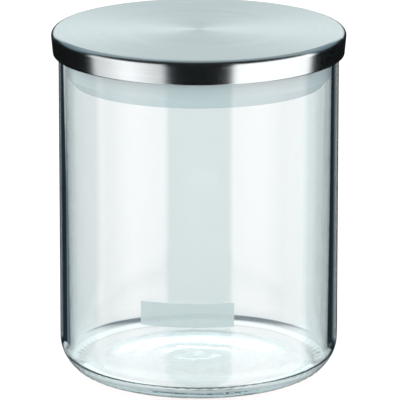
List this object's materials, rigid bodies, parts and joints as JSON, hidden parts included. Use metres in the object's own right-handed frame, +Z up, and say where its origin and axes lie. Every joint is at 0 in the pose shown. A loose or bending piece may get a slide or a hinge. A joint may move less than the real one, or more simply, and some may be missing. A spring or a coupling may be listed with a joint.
{
  "type": "lidded glass canister",
  "caption": "Straight-sided round glass storage jar with a thick floor, closed by a push-in brushed steel lid with a soft seal, and a blank frosted film on the front.",
  "frame": {"origin": "middle of the foot, on the surface that the jar stands on", "axes": "+Z up along the jar's axis, -Y towards the front with the film, +X to the right seen from the front"},
  "size_m": [0.1158, 0.1158, 0.1382],
  "materials": {
    "glass": "clear fire-polished soda-lime glass with a faint blue-green tint",
    "frosted_film": "frosted translucent film, blank",
    "brushed_steel": "stainless steel, brushed in circles on the top and round the skirt",
    "moulded_plug": "milky moulded plastic, satin",
    "soft_seal": "translucent soft silicone, satin"
  },
  "bodies": {
    "jar": {"glass_jar": "glass", "label_film": "frosted_film"},
    "seal": {"seal_ring": "soft_seal"},
    "lid": {"lid_cap": "brushed_steel", "lid_insert": "moulded_plug"}
  },
  "joints": [
    {"name": "lid_lift", "type": "slide", "parent": "jar", "child": "seal", "axis": [0, 0, 1], "range_m": [0, 0.06]},
    {"name": "lid_turn", "type": "hinge", "parent": "seal", "child": "lid", "pos_m": [0, 0, 0.1352], "axis": [0, 0, 1], "continuous": true}
  ]
}
